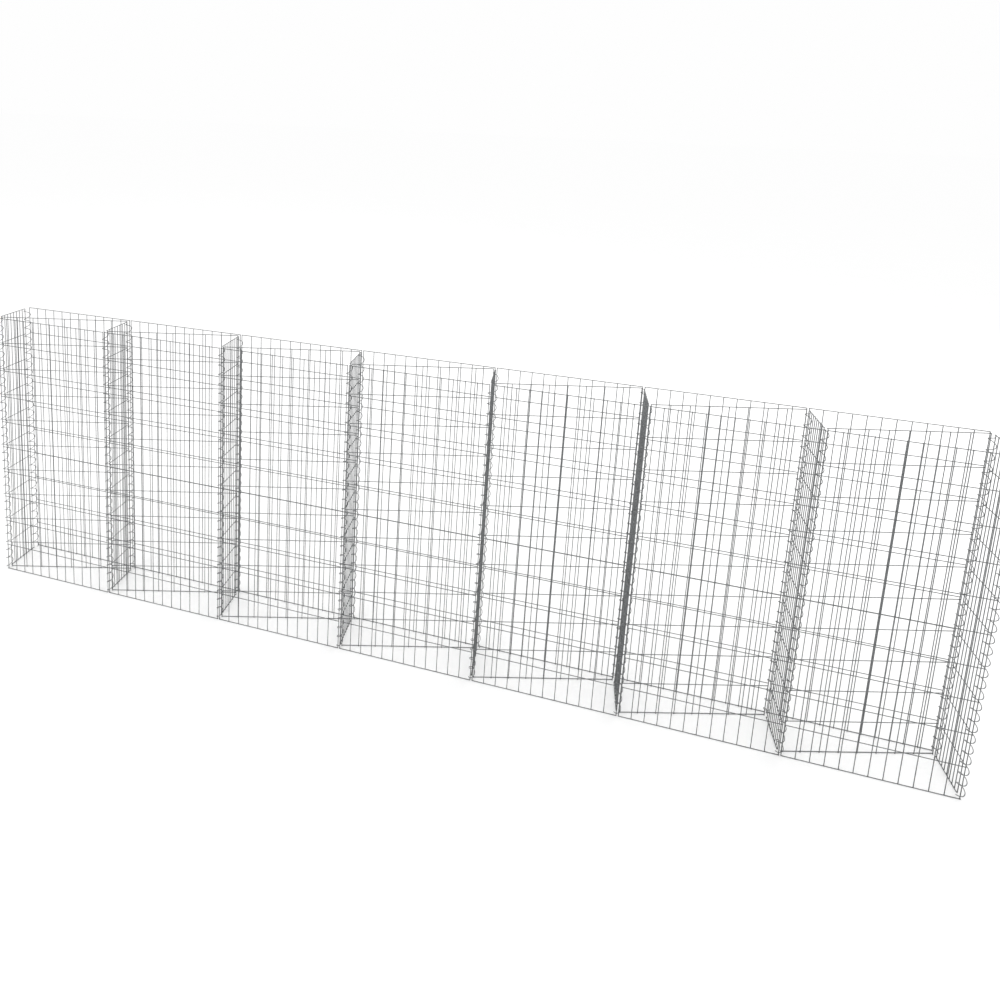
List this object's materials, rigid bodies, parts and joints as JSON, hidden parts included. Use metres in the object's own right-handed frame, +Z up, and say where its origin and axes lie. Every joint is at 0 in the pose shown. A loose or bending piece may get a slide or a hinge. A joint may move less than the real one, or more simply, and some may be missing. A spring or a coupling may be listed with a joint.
{
  "type": "gabion wall",
  "caption": "Long free-standing gabion wall of empty welded-mesh cages in a row, each braced by a diagonal mesh panel and laced at its corners with steel coils.",
  "frame": {"origin": "middle of the footprint, at the level of the ground", "axes": "+X along the wall, +Y from the front panels to the back panels, +Z up"},
  "size_m": [6.342, 0.3182, 2],
  "materials": {
    "mesh_wire": "galvanised welded mesh, dull satin grey",
    "coil_wire": "galvanised spring wire, dull satin grey"
  },
  "bodies": {
    "root": {"front_panel_1": "mesh_wire", "front_panel_2": "mesh_wire", "front_panel_3": "mesh_wire", "front_panel_4": "mesh_wire", "front_panel_5": "mesh_wire", "front_panel_6": "mesh_wire", "front_panel_7": "mesh_wire", "back_panel_1": "mesh_wire", "back_panel_2": "mesh_wire", "back_panel_3": "mesh_wire", "back_panel_4": "mesh_wire", "back_panel_5": "mesh_wire", "back_panel_6": "mesh_wire", "back_panel_7": "mesh_wire", "end_panel_left": "mesh_wire", "cross_panel_1": "mesh_wire", "cross_panel_2": "mesh_wire", "cross_panel_3": "mesh_wire", "cross_panel_4": "mesh_wire", "cross_panel_5": "mesh_wire", "cross_panel_6": "mesh_wire", "end_panel_right": "mesh_wire", "diagonal_panel_1": "mesh_wire", "diagonal_panel_2": "mesh_wire", "diagonal_panel_3": "mesh_wire", "diagonal_panel_4": "mesh_wire", "diagonal_panel_5": "mesh_wire", "diagonal_panel_6": "mesh_wire", "diagonal_panel_7": "mesh_wire", "front_coil_1": "coil_wire", "front_coil_2": "coil_wire", "front_coil_3": "coil_wire", "front_coil_4": "coil_wire", "front_coil_5": "coil_wire", "front_coil_6": "coil_wire", "front_coil_7": "coil_wire", "front_coil_8": "coil_wire", "back_coil_1": "coil_wire", "back_coil_2": "coil_wire", "back_coil_3": "coil_wire", "back_coil_4": "coil_wire", "back_coil_5": "coil_wire", "back_coil_6": "coil_wire", "back_coil_7": "coil_wire", "back_coil_8": "coil_wire"}
  },
  "joints": []
}
